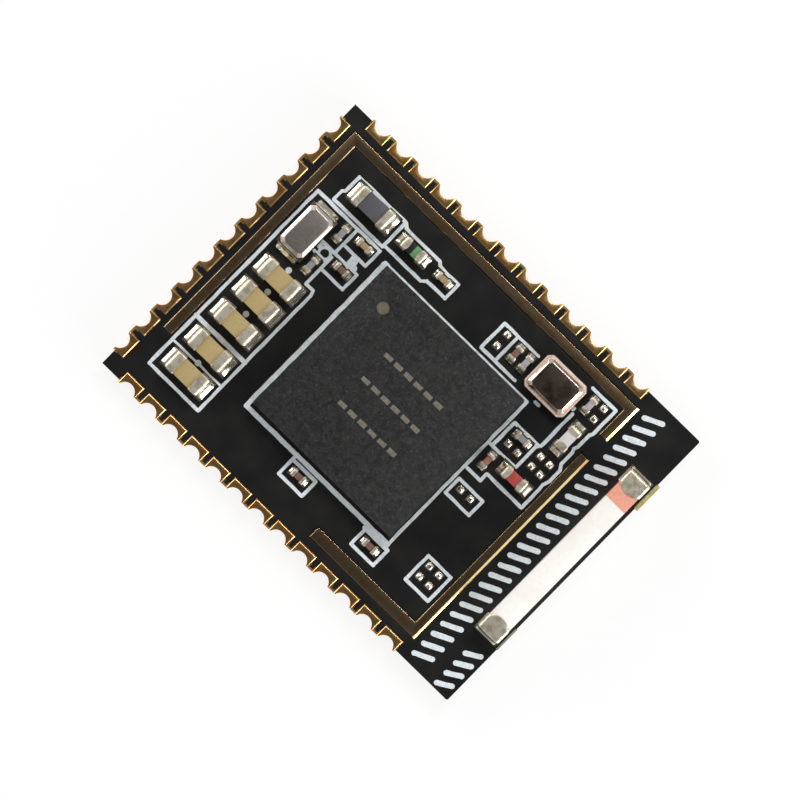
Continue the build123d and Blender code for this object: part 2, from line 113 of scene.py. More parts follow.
north_east_strokes = [
    (ink_line, [(-0.75, 1.5), (-2.47, 1.5), (-2.47, 0.27), (-0.75, 0.27)]),
    (ink_line, [(-1.77, 1.5), (-1.77, 0.27)]),
    (ink_line, [(0.33, 0.23), (0.51, 0.23)]),
    (ink_line, [(1.51, 1.0), (1.51, 1.06)]),
    (ink_line, [(1.48, 2.06), (2.66, 2.06), (2.66, 0.88), (2.59, 0.75), (2.59, 0.15),
                (2.53, 0.0), (2.59, -0.15), (2.59, -0.72), (2.73, -0.92), (2.73, -1.46),
                (2.64, -1.75), (2.67, -1.95), (2.67, -2.88), (0.91, -2.88), (0.91, -3.22),
                (0.23, -3.22)]),
    (ink_line, [(1.61, 0.87), (1.61, -0.75), (1.49, -0.92), (1.49, -1.95)]),
    (ink_line, [(1.51, -0.83), (0.33, -0.83), (0.31, -2.0)]),
    (ink_thin, [(0.7, -1.98), (1.49, -1.96)]),
    (ink_line, [(0.2, -2.0), (0.72, -2.0)]),
    (ink_line, [(0.3, -3.7), (1.5, -3.7), (1.5, -4.42), (0.3, -4.42), (0.3, -3.7)]),
]
south_west_strokes = [
    (ink_line, [(2.47, -0.2), (2.47, -1.18), (3.65, -1.18), (3.65, -0.45), (2.47, -0.45)]),
]
south_east_strokes = [
    (ink_line, [(-0.85, -0.4), (-0.85, -1.17), (0.28, -1.17), (0.28, -0.4)]),
    (ink_thick, [(-0.9, -0.4), (0.2, -0.4)]),
    (ink_line, [(1.47, 0.5), (2.62, 0.5), (2.62, -0.7), (1.47, -0.7), (1.47, 0.5)]),
]
hole_ring_place = (1.9, -1.27)
hole_ring_radius = 0.22
hole_ring_width = 0.1
spot_radius = 0.12
spot_x = 1.4
spot_rows = [-2.63, -3.73, -4.86, -7.36]

# The outline round the main chip stands this far off its sides
frame_gap_west = 0.11
frame_gap_east = 0.12
frame_gap_south = 0.24
frame_gap_north = 0.02

# Generic hatch of slanted strokes beside the aerial
hatch_line = 0.2
hatch_slant = 0.3
hatch_pitch = 0.5
aerial_hatch_sides = (6.63, 7.47, -6.2, 6.1)  # west, east, south, north
corner_hatch_sides = (7.97, 8.67, -6.4, -4.4)

# Generic dashes on the main chip
dash_rows = [0.85, -0.34, -1.55]
dash_length = 0.36
dash_width = 0.18
dash_pitch = 0.5
dashes_per_row = 6
dash_shift = 0.13
dash_thickness = 0.004

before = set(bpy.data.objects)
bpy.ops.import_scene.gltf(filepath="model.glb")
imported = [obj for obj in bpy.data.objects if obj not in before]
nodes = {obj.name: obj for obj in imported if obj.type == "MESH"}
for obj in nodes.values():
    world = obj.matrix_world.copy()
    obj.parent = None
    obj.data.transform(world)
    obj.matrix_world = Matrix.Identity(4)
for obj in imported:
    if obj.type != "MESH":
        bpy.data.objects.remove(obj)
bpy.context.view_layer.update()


def span(node):
    """Lowest and highest corner of a CAD node, in millimetres."""
    low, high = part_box(node)
    return low / MM, high / MM


chip_low, chip_high = span("main_chip_body")
mask_low, mask_high = span("solder_mask_top")
shield_low, shield_high = span("shield_land_north_west")
mask_top = mask_high.z
shield_inner_west = shield_low.x + shield_width
named_points = {
    "west": (shield_inner_west, chip_high.y),
    "north_west": (chip_low.x, chip_high.y),
    "north_east": (chip_high.x, chip_high.y),
    "south_west": (chip_low.x, chip_low.y),
    "south_east": (chip_high.x, chip_low.y),
}
small_bodies = sorted(n for n in nodes if n.startswith("small_part") and n.endswith("_body"))
bulk_bodies = sorted(n for n in nodes if n.startswith("bulk") and n.endswith("_body"))


# Shader maths

class Wire:
    """A value that varies over a surface. Arithmetic on it adds Math nodes."""

    def __init__(self, finish, socket):
        self.finish = finish
        self.socket = socket

    def math(self, operation, first, second=0.0):
        return self.finish.node("ShaderNodeMath", {"operation": operation}, {0: first, 1: second})

    def __add__(self, other):
        return self.math("ADD", self, other)

    __radd__ = __add__

    def __sub__(self, other):
        return self.math("SUBTRACT", self, other)

    def __rsub__(self, other):
        return self.math("SUBTRACT", other, self)

    def __mul__(self, other):
        return self.math("MULTIPLY", self, other)

    __rmul__ = __mul__

    def __truediv__(self, other):
        return self.math("DIVIDE", self, other)

    def __pow__(self, other):
        return self.math("POWER", self, other)

    def __mod__(self, other):
        return self.math("FLOORED_MODULO", self, other)

    def __abs__(self):
        return self.math("ABSOLUTE", self)

    def most(self, other):
        return self.math("MAXIMUM", self, other)

    def least(self, other):
        return self.math("MINIMUM", self, other)


class Workings:
    """A node tree, and the one way its nodes are made."""

    def __init__(self, tree):
        self.tree = tree

    def node(self, kind, settings=None, sockets=None, out=0):
        """One node: its settings first, then its sockets, each a number or a wire."""
        made = self.tree.nodes.new(kind)
        for name, value in (settings or {}).items():
            setattr(made, name, value)
        for name, value in (sockets or {}).items():
            self.join(value, made.inputs[name])
        return Wire(self, made.outputs[out])

    def join(self, value, socket):
        if isinstance(value, Wire):
            self.tree.links.new(value.socket, socket)
        else:
            socket.default_value = value

    def parts_of(self, vector):
        """The three numbers of a vector."""
        return [self.node("ShaderNodeSeparateXYZ", {}, {0: vector}, out=i) for i in range(3)]

    def ramp(self, value, low, high):
        """0 below low, 1 above high, smooth between."""
        return self.node("ShaderNodeMapRange", {"interpolation_type": "SMOOTHSTEP"}, {
            "Value": value, "From Min": low, "From Max": high,
        })


class Finish(Workings):
    """A material of the module, worked out from the place on the part in millimetres."""

    def __init__(self, name):
        self.material = bpy.data.materials.new(name)
        self.material.use_nodes = True
        super().__init__(self.material.node_tree)
        self.shader = self.tree.nodes["Principled BSDF"]
        self.place = self.node(
            "ShaderNodeVectorMath", {"operation": "SCALE"},
            {0: self.node("ShaderNodeTexCoord", out="Object"), "Scale": 1 / MM},
        )

    def shade(self, **values):
        """Set the shader's sockets; base_color stands for Base Color and so on."""
        for name, value in values.items():
            self.join(value, self.shader.inputs[name.replace("_", " ").title()])
        return self.material

    def axes(self):
        return self.parts_of(self.place)

    def stretched(self, scale):
        return self.node("ShaderNodeVectorMath", {"operation": "MULTIPLY"}, {0: self.place, 1: scale})

    def grain(self, per_mm, detail=2.0, rough=0.5, distortion=0.0, place=None):
        """Cloudy noise around 0.5, with so many grains to the millimetre."""
        return self.node("ShaderNodeTexNoise", {}, {
            "Vector": place or self.place, "Scale": per_mm, "Detail": detail,
            "Roughness": rough, "Distortion": distortion,
        })

    def tint(self, factor, under, over):
        return self.node(
            "ShaderNodeMix", {"data_type": "RGBA"}, {0: factor, 6: under, 7: over}, out=2
        )

    def relief(self, height, depth, strength=1.0):
        """A bump depth millimetres deep where height goes from 0 to 1."""
        bump = self.node("ShaderNodeBump", {}, {
            "Height": height, "Distance": depth * MM, "Strength": strength,
        })
        self.join(bump, self.shader.inputs["Normal"])


def paint(red, green, blue):
    """A colour as the picture shows it, from 0 to 255, as a shader takes it."""
    linear = [
        c / 12.92 if c <= 0.04045 else ((c + 0.055) / 1.055) ** 2.4
        for c in (red / 255, green / 255, blue / 255)
    ]
    return (*linear, 1.0)


# Finishes

def black_mask():
    finish = Finish("black_solder_mask")
    cloud = finish.grain(0.8, detail=4.0)
    peel = finish.grain(14.0, detail=2.0)
    colour = finish.tint(finish.ramp(cloud, 0.35, 0.7), paint(17, 17, 18), paint(25, 24, 22))
    finish.relief(peel, 0.0015)
    return finish.shade(base_color=colour, roughness=0.3 + 0.12 * cloud)


def glass_epoxy():
    """Bare board: olive resin over woven glass, greyer toward its south side."""
    finish = Finish("glass_epoxy_laminate")
    east, north, up = finish.axes()
    weave = finish.grain(9.0, detail=4.0, place=finish.stretched((1.0, 1.0, 5.0)))
    plies = finish.ramp(abs(((up / ply) % 1.0) - 0.5), 0.3, 0.5)
    fibre = finish.grain(30.0, detail=3.0)
    bare = finish.tint(finish.ramp(weave, 0.35, 0.65), paint(150, 147, 84), paint(188, 185, 118))
    bare = finish.tint(finish.ramp(north, tint_change, -tint_change), bare, paint(150, 148, 128))
    colour = finish.tint(plies * 0.45, bare, paint(92, 78, 44))
    tip = mask_high.y - tip_depth
    among_parts = (
        finish.ramp(abs(north), tip, tip - tip_blend)
        * finish.ramp(east, west_tip, west_tip + tip_blend)
        * finish.ramp(east, tab_line + 0.01, tab_line - 0.01)
        * finish.ramp(up, mask_low.z - 0.02, mask_low.z - 0.01)
    )
    colour = finish.tint(among_parts, colour, paint(30, 27, 20))
    at_tips = finish.ramp(abs(north), tip, tip + tip_blend).most(
        finish.ramp(east, west_tip, west_tip - tip_blend)
    )
    tan = finish.tint(fibre, paint(122, 88, 44), paint(168, 130, 74))
    colour = finish.tint(at_tips, colour, tan)
    finish.relief(fibre, 0.012)
    return finish.shade(base_color=colour, roughness=0.6 + 0.2 * fibre)


def gold(name, light, deep, rough, etched_edge=None):
    """Thin gold over copper, with the uneven tone that plating has under a lens.

    etched_edge is the x of an east edge that the etching has left sloping. That strip gets a painted
    highlight, a pale gold that stands in for its glint, and the other sides of such a land get painted
    shade, a darker gold."""
    finish = Finish(name)
    patches = finish.grain(2.6, detail=5.0, rough=0.6)
    fine = finish.grain(22.0, detail=3.0)
    warm = finish.tint(finish.ramp(patches, 0.42, 0.62), light, deep)
    colour = finish.tint(finish.ramp(fine, 0.5, 0.75) * 0.35, warm, paint(204, 192, 146))
    rough = rough + 0.09 * patches + 0.05 * fine
    if etched_edge is None:
        finish.relief(fine, 0.002)
        return finish.shade(base_color=colour, metallic=1.0, roughness=rough)
    east, _, up = finish.axes()
    start = etched_edge - etched_side - etched_width
    slope = ((east - start) / etched_width).most(0.0).least(1.0)
    finish.relief(fine * (0.002 / etched_depth) - slope, etched_depth)
    # Painted shade on the land's sides below its top, and a painted highlight, pale gold, on the sloping
    # east strip
    on_side = 1.0 - finish.ramp(up, shield_high.z - 0.005, shield_high.z - 0.001)
    colour_with_painted_shade = finish.tint(on_side, colour, paint(104, 88, 68))
    bright = finish.tint(finish.ramp(slope, 0.0, 0.3), colour_with_painted_shade, paint(255, 236, 172))
    return finish.shade(base_color=bright, metallic=1.0, roughness=rough)


def bright_solder():
    finish = Finish("bright_tin_solder")
    swirl = finish.grain(5.0, detail=3.0, distortion=0.6)
    dross = finish.grain(26.0, detail=2.0)
    colour = finish.tint(finish.ramp(dross, 0.45, 0.75), paint(236, 230, 214), paint(202, 190, 168))
    finish.relief(swirl, 0.008)
    return finish.shade(base_color=colour, metallic=1.0, roughness=0.16 + 0.16 * dross)


def end_metal():
    """Plated ends of the chip parts: satin tin with a sugary grain."""
    finish = Finish("tinned_end_caps")
    sugar = finish.grain(20.0, detail=3.0, rough=0.6)
    cloud = finish.grain(4.0, detail=3.0)
    colour = finish.tint(finish.ramp(cloud, 0.4, 0.7), paint(234, 226, 206), paint(200, 187, 164))
    finish.relief(sugar, 0.012)
    return finish.shade(base_color=colour, metallic=1.0, roughness=0.34 + 0.16 * sugar)


def moulding():
    """Filled moulding compound, with the first lead's dot in a paler tone."""
    finish = Finish("moulding_compound")
    east, north, up = finish.axes()
    filler = finish.grain(4.6, detail=5.0, rough=0.7)
    streak = finish.grain(3.4, detail=6.0, rough=0.75, distortion=2.4)
    fleck = finish.grain(13.0, detail=2.0)
    tone = finish.tint(finish.ramp(filler, 0.32, 0.66), paint(18, 18, 19), paint(42, 41, 40))
    tone = finish.tint(finish.ramp(streak, 0.5, 0.64) * 0.6, tone, paint(60, 60, 60))
    tone = finish.tint(finish.ramp(fleck, 0.64, 0.72) * 0.5, tone, paint(76, 76, 78))
    dot_east = chip_low.x + dot_inset_east
    dot_north = chip_high.y - dot_inset_south
    away = ((east - dot_east) ** 2.0 + (north - dot_north) ** 2.0) ** 0.5
    on_top = finish.ramp(up, chip_high.z - 0.3, chip_high.z - 0.2)
    dot = (1.0 - finish.ramp(away, dot_radius - 0.035, dot_radius)) * on_top
    shine = finish.tint(finish.ramp(filler, 0.35, 0.65), paint(92, 86, 72), paint(112, 104, 88))
    finish.relief(filler + 0.5 * fleck, 0.009)
    finish.join(0.28, finish.shader.inputs["Specular IOR Level"])
    return finish.shade(
        base_color=finish.tint(dot, tone, shine), roughness=0.62 + 0.2 * filler
    )


def ceramic(name, colour, fleck_colour, grains=16.0, gloss=0.42):
    finish = Finish(name)
    grain = finish.grain(grains, detail=4.0, rough=0.6)
    cloud = finish.grain(2.5, detail=2.0)
    tone = finish.tint(finish.ramp(grain, 0.5, 0.72) * 0.7, colour, fleck_colour)
    finish.relief(grain, 0.006)
    return finish.shade(base_color=tone, roughness=gloss + 0.15 * cloud)


def banded_ceramic():
    """Black ceramic, green over its east half."""
    finish = Finish("banded_ceramic")
    low, high = span("banded_inductor_body")
    middle = (low.x + high.x) / 2
    east = finish.axes()[0]
    grain = finish.grain(16.0, detail=4.0)
    band = finish.ramp(east + 0.03 * grain, middle, middle + 0.03)
    black = finish.tint(grain, paint(16, 18, 18), paint(34, 36, 36))
    green = finish.tint(grain, paint(84, 134, 84), paint(112, 156, 104))
    finish.relief(grain, 0.006)
    return finish.shade(base_color=finish.tint(band, black, green), roughness=0.35 + 0.15 * grain)


def aerial_ceramic():
    """Near-white glazed ceramic with one salmon band by its north end."""
    finish = Finish("aerial_ceramic")
    north = finish.axes()[1]
    cloud = finish.grain(1.4, detail=4.0)
    speck = finish.grain(20.0, detail=2.0)
    glaze = finish.tint(finish.ramp(cloud, 0.35, 0.7), paint(252, 249, 244), paint(247, 242, 235))
    glaze = finish.tint(finish.ramp(speck, 0.68, 0.76) * 0.4, glaze, paint(214, 210, 214))
    salmon = finish.tint(finish.ramp(speck, 0.4, 0.7), paint(240, 168, 146), paint(230, 154, 132))
    band = finish.ramp(north + 0.03 * cloud, salmon_start, salmon_start + salmon_blend)
    finish.relief(speck, 0.004)
    return finish.shade(
        base_color=finish.tint(band, glaze, salmon), roughness=0.22 + 0.12 * cloud, coat_weight=0.3
    )


def lid_metal(name, flat, dark, rough):
    """A drawn metal lid, finely brushed along the board."""
    finish = Finish(name)
    brushed = finish.grain(26.0, detail=3.0, place=finish.stretched((0.25, 1.6, 1.0)))
    cloud = finish.grain(1.8, detail=4.0)
    tone = finish.tint(finish.ramp(brushed, 0.35, 0.7), flat, dark)
    tone = finish.tint(finish.ramp(cloud, 0.45, 0.7) * 0.5, tone, dark)
    finish.relief(brushed, 0.003)
    return finish.shade(base_color=tone, metallic=1.0, roughness=rough + 0.12 * brushed)


def rimmed_lid_metal():
    """A polished lid, with a matt rose-white flange where it is welded down."""
    finish = Finish("rimmed_lid")
    flange_top = span("fast_crystal_lid")[0].z + flange_height
    up = finish.axes()[2]
    cloud = finish.grain(1.8, detail=4.0)
    grain = finish.grain(20.0, detail=3.0)
    top = finish.tint(finish.ramp(cloud, 0.4, 0.65), paint(214, 190, 172), paint(150, 128, 114))
    rim = finish.tint(finish.ramp(grain, 0.35, 0.7), paint(236, 212, 198), paint(204, 176, 156))
    on_rim = 1.0 - finish.ramp(up, flange_top, flange_top + flange_blend)
    finish.relief(grain, 0.005)
    return finish.shade(
        base_color=finish.tint(on_rim, top, rim),
        metallic=1.0 - 0.55 * on_rim,
        roughness=0.15 + 0.08 * grain + 0.3 * on_rim,
    )


def white_ink():
    """Screened ink: chalky, thinner in places."""
    finish = Finish("white_print_ink")
    chalk = finish.grain(11.0, detail=4.0, rough=0.6)
    thin = finish.grain(3.0, detail=2.0)
    tone = finish.tint(finish.ramp(chalk, 0.35, 0.7), paint(226, 232, 235), paint(206, 214, 218))
    tone = finish.tint(finish.ramp(thin, 0.55, 0.75) * 0.4, tone, paint(180, 188, 193))
    finish.relief(chalk, 0.006)
    return finish.shade(base_color=tone, roughness=0.55 + 0.2 * chalk)


def taupe_mark():
    finish = Finish("taupe_surface_mark")
    burn = finish.grain(16.0, detail=4.0, rough=0.65)
    tone = finish.tint(finish.ramp(burn, 0.3, 0.7), paint(92, 88, 76), paint(124, 118, 102))
    finish.relief(burn, 0.006)
    return finish.shade(base_color=tone, roughness=0.6 + 0.15 * burn)


def floor_paper():
    """White paper. Seen by the camera or in metal it is partly its own white."""
    finish = Finish("floor_paper")
    fibre = finish.grain(0.6, detail=3.0)
    finish.shade(
        base_color=finish.tint(fibre, paint(247, 247, 247), paint(250, 250, 250)), roughness=0.9
    )
    glow = finish.node("ShaderNodeEmission", {}, {"Color": (1.0, 1.0, 1.0, 1.0), "Strength": 1.0})
    camera, glossy, transmission = [
        finish.node("ShaderNodeLightPath", out=ray)
        for ray in ("Is Camera Ray", "Is Glossy Ray", "Is Transmission Ray")
    ]
    mixed = finish.node("ShaderNodeMixShader", {}, {
        0: camera.most(glossy).most(transmission) * floor_own_white,
        1: Wire(finish, finish.shader.outputs[0]), 2: glow,
    })
    finish.join(mixed, finish.tree.nodes["Material Output"].inputs["Surface"])
    return finish.material


# Meshes

def piece(name, points, faces, material, replaces=(), smooth=True):
    """A new mesh from points in millimetres, riding on the board."""
    mesh = bpy.data.meshes.new(name)
    mesh.from_pydata([Vector(p) * MM for p in points], [], faces)
    mesh.materials.append(material)
    for polygon in mesh.polygons:
        polygon.use_smooth = smooth
    made = bpy.data.objects.new(name, mesh)
    bpy.context.scene.collection.objects.link(made)
    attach(made, "root")
    if replaces:
        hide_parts(*replaces)
    return made


def islands(node):
    """The separate solids of a CAD node, each as its corner points in millimetres."""
    shape = bmesh.new()
    shape.from_mesh(nodes[node].data)
    bmesh.ops.remove_doubles(shape, verts=shape.verts, dist=1e-7)
    left = set(shape.verts)
    found = []
    for start in shape.verts[:]:
        if start not in left:
            continue
        left.discard(start)
        reached = [start]
        for vertex in reached:
            for edge in vertex.link_edges:
                other = edge.other_vert(vertex)
                if other in left:
                    left.discard(other)
                    reached.append(other)
        found.append([vertex.co / MM for vertex in reached])
    shape.free()
    return found


def extent(points):
    low = Vector([min(p[i] for p in points) for i in range(3)])
    high = Vector([max(p[i] for p in points) for i in range(3)])
    return low, high


def ticks(length, radius, lines, middle, round_low, round_high):
    """Grid lines along one side of a rounded block, close together on its rounded edges."""
    bend = [radius * (1 - math.tan(math.pi / 4 * (1 - k / lines))) for k in range(lines)]
    start = radius if round_low else 0.0
    end = length - radius if round_high else length
    straight = [start + (end - start) * k / middle for k in range(middle + 1)]
    low_bend = bend if round_low else []
    high_bend = [length - b for b in reversed(bend)] if round_high else []
    return low_bend + straight + high_bend


def rounded_block(low, high, radii, flat_side=None, lines=4, middle=3):
    """Points and faces of a block with rounded edges; flat_side is (axis, +1 or -1)."""
    size = high - low
    radii = [min(radii[axis], size[axis] * 0.49) for axis in range(3)]
    rounds = [[flat_side != (axis, -1), flat_side != (axis, 1)] for axis in range(3)]
    rounds[2][0] = False
    grid = [
        ticks(size[axis], radii[axis], lines, middle, *rounds[axis]) for axis in range(3)
    ]
    last = [len(g) - 1 for g in grid]
    inner_low = [radii[a] if rounds[a][0] else 0.0 for a in range(3)]
    inner_high = [size[a] - radii[a] if rounds[a][1] else size[a] for a in range(3)]
    numbers = {}
    points = []

    def number(i, j, k):
        if (i, j, k) not in numbers:
            p = Vector((grid[0][i], grid[1][j], grid[2][k]))
            core = Vector([min(max(p[a], inner_low[a]), inner_high[a]) for a in range(3)])
            out = Vector([(p[a] - core[a]) / radii[a] for a in range(3)])
            if out.length > 1e-9:
                out.normalize()
                p = core + Vector([out[a] * radii[a] for a in range(3)])
            numbers[i, j, k] = len(points)
            points.append(low + p)
        return numbers[i, j, k]

    faces = []
    for axis in range(3):
        a, b = [other for other in range(3) if other != axis]
        for end in (0, last[axis]):
            for u in range(last[a]):
                for v in range(last[b]):
                    ring = []
                    for du, dv in ((0, 0), (1, 0), (1, 1), (0, 1)):
                        corner = [0, 0, 0]
                        corner[axis], corner[a], corner[b] = end, u + du, v + dv
                        ring.append(number(*corner))
                    outward = (end > 0) != (axis == 1)
                    faces.append(ring if outward else ring[::-1])
    return points, faces


class Batch:
    """Collects many small shapes into one mesh."""

    def __init__(self):
        self.points = []
        self.faces = []

    def add(self, points, faces):
        start = len(self.points)
        self.points += points
        self.faces += [[start + i for i in face] for face in faces]


def wobble(point, per_mm, depth):
    """Move a point a little, always the same way for the same place."""
    place = Vector(point) * per_mm
    apart = Vector((0.0, 0.0, 17.3))  # the three directions read the noise far from each other
    return point + Vector([noise.noise(place + apart * k) for k in range(3)]) * depth


def soften(node, width, segments=2, sharper_than=35):
    """Break a CAD node's edges that turn by more than so many degrees."""
    weld = nodes[node].modifiers.new("weld", "WELD")
    weld.merge_threshold = 0.0005 * MM
    bevel = nodes[node].modifiers.new("broken_edges", "BEVEL")
    bevel.width = width * MM
    bevel.segments = segments
    bevel.limit_method = "ANGLE"
    bevel.angle_limit = math.radians(sharper_than)
    bevel.harden_normals = True
    for polygon in nodes[node].data.polygons:
        polygon.use_smooth = True


def dress(node, material):
    nodes[node].data.materials.clear()
    nodes[node].data.materials.append(material)


def nearest_body(centre, bodies):
    """The body of the chip part that an end cap or a fillet belongs to, as its two corners."""
    spans = [span(body) for body in bodies]
    return min(spans, key=lambda s: ((s[0] + s[1]) / 2 - centre).length)


def end_caps(name, cap_node, bodies, material, radii, bow=0.0):
    """Pillowed end caps in place of a node of plain ones.

    radii says how far the rounding reaches along the part, across it and down."""
    batch = Batch()
    top = span(cap_node)[1].z
    for solid in islands(cap_node):
        low, high = extent(solid)
        centre = (low + high) / 2
        body_low, body_high = nearest_body(centre, bodies)
        away = centre - (body_low + body_high) / 2
        axis = 0 if abs(away.x) > abs(away.y) else 1
        across = 1 - axis
        side = 1 if away[axis] > 0 else -1
        inner = low[axis] + bow if side > 0 else high[axis] - bow
        if side > 0:
            low[axis] = inner
        else:
            high[axis] = inner
        middle = (low[across] + high[across]) / 2
        half = (high[across] - low[across]) / 2
        depth = high[axis] - low[axis]
        reach = [0.0, 0.0, radii[2]]
        reach[axis], reach[across] = radii[0], radii[1]
        points, faces = rounded_block(low, high, reach, flat_side=(axis, -side), middle=4)
        moved = []
        for point in points:
            share = 1 - abs(point[axis] - inner) / depth
            v = (point[across] - middle) / half
            point[axis] -= side * bow * max(share, 0) * (1 - v * v)
            point = wobble(point, 6.0, 0.008)
            point.z = min(point.z, top)
            moved.append(point)
        batch.add(moved, faces)
    return piece(name, batch.points, batch.faces, material, (cap_node,))


def end_solder(material):
    """Sloped solder at each end of the chip parts, thin and rounded at its toe."""
    along_steps, across_steps = 16, 16
    foot_share = 0.62  # the long low slope reaches at most so much of the toe in height
    batch = Batch()
    for solid in islands("solder_fillets"):
        low, high = extent(solid)
        rise = high.z - low.z
        foot = extent([p for p in solid if p.z > low.z + 0.9 * rise])
        away = (low + high) / 2 - (foot[0] + foot[1]) / 2
        axis = 0 if abs(away.x) > abs(away.y) else 1
        side = 1 if away[axis] > 0 else -1
        across = 1 - axis
        toe = high[axis] - low[axis]
        centre = (low[across] + high[across]) / 2
        half = (high[across] - low[across]) / 2
        start = low[axis] if side > 0 else high[axis]
        slope = min(toe * foot_share, rise * 0.6)
        upper, lower = [], []
        for i in range(along_steps + 1):
            u = i / along_steps
            round_toe = (1 - u ** 7) ** 0.5
            for j in range(across_steps + 1):
                v = math.sin(math.pi / 2 * (2 * j / across_steps - 1))
                shoulder = max(1 - abs(v) ** 4, 0.0) ** 0.5
                climb = slope * (1 - u) + (rise - slope) * (1 - u) ** 7
                height = (climb + 0.03) * shoulder * round_toe
                p = Vector((0, 0, low.z))
                p[axis] = start + side * toe * u
                p[across] = centre + half * v * (1 - 0.12 * u ** 4)
                lower.append(Vector(p))
                ripple = noise.noise(Vector(p) * 5.0) * 0.012 * shoulder * round_toe
                p.z = low.z + max(min(height, rise) + ripple, 0.0)
                upper.append(p)
        faces = grid_faces(along_steps, across_steps)
        if (side > 0) == (axis == 1):
            faces = [f[::-1] for f in faces]
        batch.add(upper, faces)
        batch.add(lower, [f[::-1] for f in faces])
    made = piece(
        "end_solder", batch.points, batch.faces, material, ("solder_fillets",)
    )
    close_seams(made)
    return made


def grid_faces(rows, columns):
    wide = columns + 1
    return [
        [i * wide + j, (i + 1) * wide + j, (i + 1) * wide + j + 1, i * wide + j + 1]
        for i in range(rows) for j in range(columns)
    ]


def close_seams(made):
    """Join the upper and lower sheets of a batch where they meet, and fill their open ends."""
    shape = bmesh.new()
    shape.from_mesh(made.data)
    bmesh.ops.remove_doubles(shape, verts=shape.verts, dist=0.0008 * MM)
    edges = [edge for edge in shape.edges if edge.is_boundary]
    bmesh.ops.holes_fill(shape, edges=edges, sides=0)
    bmesh.ops.recalc_face_normals(shape, faces=shape.faces)
    shape.to_mesh(made.data)
    shape.free()


def solder_beads(material):
    """Solder that stands in an uneven mound on each land without a part."""
    rings, sides = 12, 36
    squareness = 3.4  # 2 gives a round bead, more a squarer one
    batch = Batch()
    for solid in islands("solder_domes"):
        low, high = extent(solid)
        centre = (low + high) / 2
        half = (high - low) / 2
        height = high.z - low.z
        points = []
        for ring in range(rings + 1):
            reach = 1 - ring / (rings + 1)
            mound = 0.25 * min(1.0, (1 - reach) * 8) + 0.7 * (1 - reach ** 2)
            for step in range(sides):
                turn = 2 * math.pi * step / sides
                c, s = math.cos(turn), math.sin(turn)
                square = (abs(c) ** squareness + abs(s) ** squareness) ** (-1 / squareness)
                p = Vector((
                    centre.x + half.x * c * square * reach,
                    centre.y + half.y * s * square * reach,
                    low.z + height * mound,
                ))
                p.z += 0.022 * noise.noise(p * 8.0) * mound
                points.append(p)
        faces = [list(reversed(range(sides)))]
        for ring in range(rings):
            for step in range(sides):
                a = ring * sides + step
                b = ring * sides + (step + 1) % sides
                faces.append([a, b, b + sides, a + sides])
        faces.append([rings * sides + step for step in range(sides)])
        batch.add(points, faces)
    return piece(
        "solder_beads", batch.points, batch.faces, material, ("solder_domes",)
    )


# Print

def prism(outline, z0, z1):
    """Points and faces of a flat shape given thickness."""
    count = len(outline)
    points = [Vector((x, y, z)) for z in (z0, z1) for x, y in outline]
    faces = [list(reversed(range(count))), [count + i for i in range(count)]]
    faces += [[i, (i + 1) % count, count + (i + 1) % count, count + i] for i in range(count)]
    return points, faces


def disc(x, y, radius, sides=ink_corner_sides):
    return [
        (x + radius * math.cos(2 * math.pi * i / sides), y + radius * math.sin(2 * math.pi * i / sides))
        for i in range(sides)
    ]


def wavering_strip(start, end, width):
    """The outline of one straight run of ink, its two edges not quite straight."""
    run = Vector(end) - Vector(start)
    steps = max(1, round(run.length / ink_step))
    out = Vector((-run.y, run.x)).normalized()
    left, right = [], []
    for i in range(steps + 1):
        middle = Vector(start) + run * (i / steps)
        for side, edge in ((1, left), (-1, right)):
            waver = noise.noise(Vector((middle.x * 2.2, middle.y * 2.2, side * 5.0))) * ink_waver
            edge.append(middle + out * side * (width / 2 + waver))
    return [tuple(p) for p in left + right[::-1]][::-1]


def draw_strokes(batch, strokes, origin):
    for width, route in strokes:
        route = [(origin[0] + x, origin[1] + y) for x, y in route]
        for start, end in zip(route, route[1:]):
            batch.add(*prism(wavering_strip(start, end, width), mask_top, mask_top + ink_thickness))
        for x, y in route:
            batch.add(*prism(disc(x, y, width / 2), mask_top, mask_top + ink_thickness))


def chip_frame_strokes():
    """The outline round the main chip, broad on its west and south sides."""
    west, east = chip_low.x - frame_gap_west, chip_high.x + frame_gap_east
    south, north = chip_low.y - frame_gap_south, chip_high.y + frame_gap_north
    return [
        (ink_thick, [(west, north), (west, south), (east, south)]),
        (ink_line, [(east, south), (east, north), (west, north)]),
        (ink_blot, [(west + 0.05, north - 0.08), (west + 0.1, north - 0.08)]),
    ]


def keep_outs():
    """Blocks over the parts' lands, a little wider than they are, that the ink stays out of."""
    batch = Batch()
    gap = ink_clearance
    for solid in islands("part_lands"):
        low, high = extent(solid)
        outline = [
            (low.x - gap, low.y - gap), (high.x + gap, low.y - gap),
            (high.x + gap, high.y + gap), (low.x - gap, high.y + gap),
        ]
        batch.add(*prism(outline, mask_top - 0.1, mask_top + 0.1))
    return batch


def fuse(made, batch):
    """Make one clean body of overlapping strokes, less the blocks of a batch."""
    mesh = bpy.data.meshes.new("cutter")
    mesh.from_pydata([Vector(p) * MM for p in batch.points], [], batch.faces)
    cutter = bpy.data.objects.new("cutter", mesh)
    bpy.context.scene.collection.objects.link(cutter)
    boolean = made.modifiers.new("fuse", "BOOLEAN")
    boolean.operation = "DIFFERENCE"
    boolean.solver = "EXACT"
    boolean.use_self = True
    boolean.object = cutter
    bpy.context.view_layer.update()
    evaluated = made.evaluated_get(bpy.context.evaluated_depsgraph_get())
    result = bpy.data.meshes.new_from_object(evaluated)
    made.modifiers.clear()
    made.data = result
    bpy.data.objects.remove(cutter)


